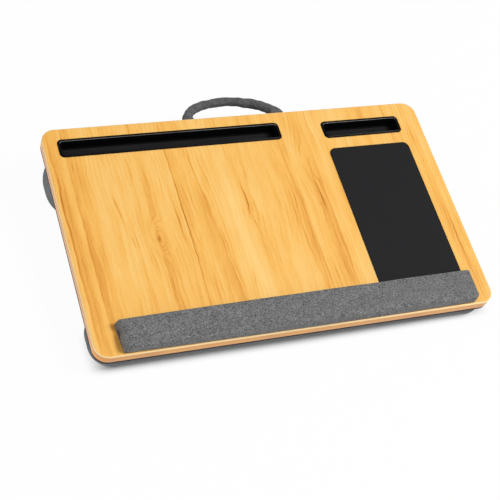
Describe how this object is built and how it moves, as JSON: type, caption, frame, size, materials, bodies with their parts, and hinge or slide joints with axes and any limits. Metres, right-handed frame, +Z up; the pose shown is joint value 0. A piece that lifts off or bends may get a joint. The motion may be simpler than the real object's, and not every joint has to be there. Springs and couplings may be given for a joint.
{
  "type": "cushioned lap desk",
  "caption": "Wood-grain lap desk on sloping bolster cushions, with a tablet slot, a phone slot, a mouse pad, a padded wrist rest and a swinging fabric carry handle.",
  "frame": {"origin": "on the surface the bolsters stand on, under the middle of the whole object's box", "axes": "+X to the user's right along the deck, +Y from the user to the back edge, +Z up"},
  "size_m": [0.55, 0.395, 0.0835],
  "materials": {
    "fibreboard": "matte",
    "wood_grain": "satin",
    "wood_edge": "satin",
    "tray_plastic": "gloss",
    "pad_face": "matte",
    "pad_rubber": "matte",
    "rest_felt": "matte",
    "bolster_fabric": "matte",
    "handle_fabric": "matte",
    "lining_fabric": "matte",
    "fibre_fill": "matte",
    "foam": "matte",
    "base_plastic": "matte",
    "tape": "matte",
    "steel": "satin"
  },
  "bodies": {
    "desk": {"core_board": "fibreboard", "deck_laminate": "wood_grain", "edge_band": "wood_edge", "tablet_tray": "tray_plastic", "phone_tray": "tray_plastic", "mouse_pad_face": "pad_face", "mouse_pad_backing": "pad_rubber", "wrist_rest_cover": "rest_felt", "wrist_rest_foam": "foam", "wrist_rest_base": "base_plastic", "wrist_rest_tape": "tape", "backing_board": "fibreboard", "underside_lining": "lining_fabric", "hem_staples": "steel", "base_screws": "steel", "base_washers": "steel", "rear_bolster_cover": "bolster_fabric", "rear_bolster_fill": "fibre_fill", "front_bolster_cover": "bolster_fabric", "front_bolster_fill": "fibre_fill", "handle_tab_left": "handle_fabric", "handle_tab_right": "handle_fabric", "handle_screws": "steel", "handle_washers": "steel"},
    "handle": {"handle_end_left": "handle_fabric", "handle_end_right": "handle_fabric", "handle_sleeve": "handle_fabric", "handle_core": "foam"}
  },
  "joints": [
    {"name": "handle_swing", "type": "hinge", "parent": "desk", "child": "handle", "pos_m": [0.004, 0.14404, 0.06998], "axis": [1, 0, 0], "range_deg": [-55, 117]}
  ]
}
